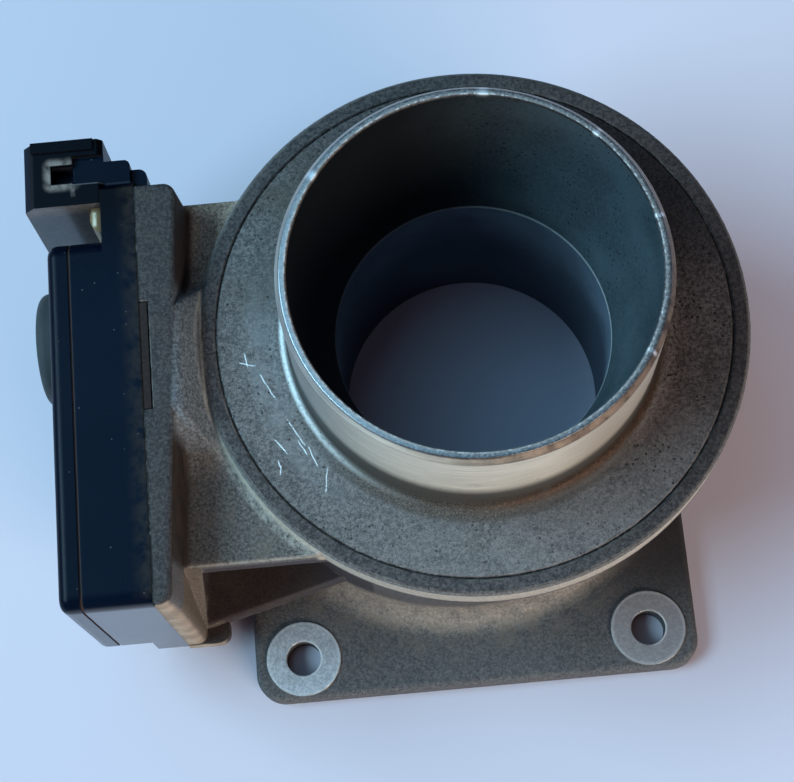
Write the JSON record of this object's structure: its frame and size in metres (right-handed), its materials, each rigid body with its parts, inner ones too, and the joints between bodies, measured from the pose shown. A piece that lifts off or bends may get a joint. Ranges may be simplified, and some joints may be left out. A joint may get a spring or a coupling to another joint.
{
  "type": "mass airflow sensor",
  "caption": "Bypass-type hot-wire mass airflow sensor: cast aluminium body with bolt flange and hose spigot, and a black electronics box with connector on its side.",
  "frame": {"origin": "centre of the air bore in the flange's bottom face", "axes": "+Z along the bore from the flange to the hose spigot, -X towards the electronics box, -Y towards the flange's wide lip"},
  "size_m": [0.136, 0.1137, 0.0804],
  "materials": {
    "cast_aluminium": "weathered sand-cast skin with brown dust in the corners",
    "turned_aluminium": "weathered, worn bright at the lip",
    "black_plastic": "semi-gloss black, dusty",
    "brown_sealant": "brown",
    "grey_rubber": "matt dark grey",
    "tinned_brass": "tinned",
    "plate_aluminium": "rolled",
    "board_ceramic": "white alumina",
    "chip_plastic": "moulded black",
    "chip_ceramic": "tan",
    "blue_plastic": "blue",
    "probe_plastic": "glass-filled, dark",
    "black_rubber": "black",
    "pin_steel": "bright",
    "element_metal": "glass-coated platinum",
    "screw_steel": "zinc plated",
    "clear_gel": "soft translucent gel"
  },
  "bodies": {
    "root": {"body_casting": "cast_aluminium", "inlet_cover": "turned_aluminium", "sensor_housing": "black_plastic", "housing_lid": "black_plastic", "lid_sealant": "brown_sealant", "access_plug": "grey_rubber", "connector_terminals": "tinned_brass", "base_plate": "plate_aluminium", "circuit_board": "board_ceramic", "control_ic": "chip_plastic", "power_transistor": "chip_plastic", "chip_capacitors": "chip_ceramic", "chip_resistors": "chip_ceramic", "trim_potentiometer": "blue_plastic", "trim_rotor": "tinned_brass", "probe_holder": "probe_plastic", "probe_seal": "black_rubber", "support_pins": "pin_steel", "hot_wire": "element_metal", "temperature_element": "element_metal", "lead_strips": "tinned_brass", "module_screws": "screw_steel", "silicone_gel": "clear_gel"}
  },
  "joints": []
}
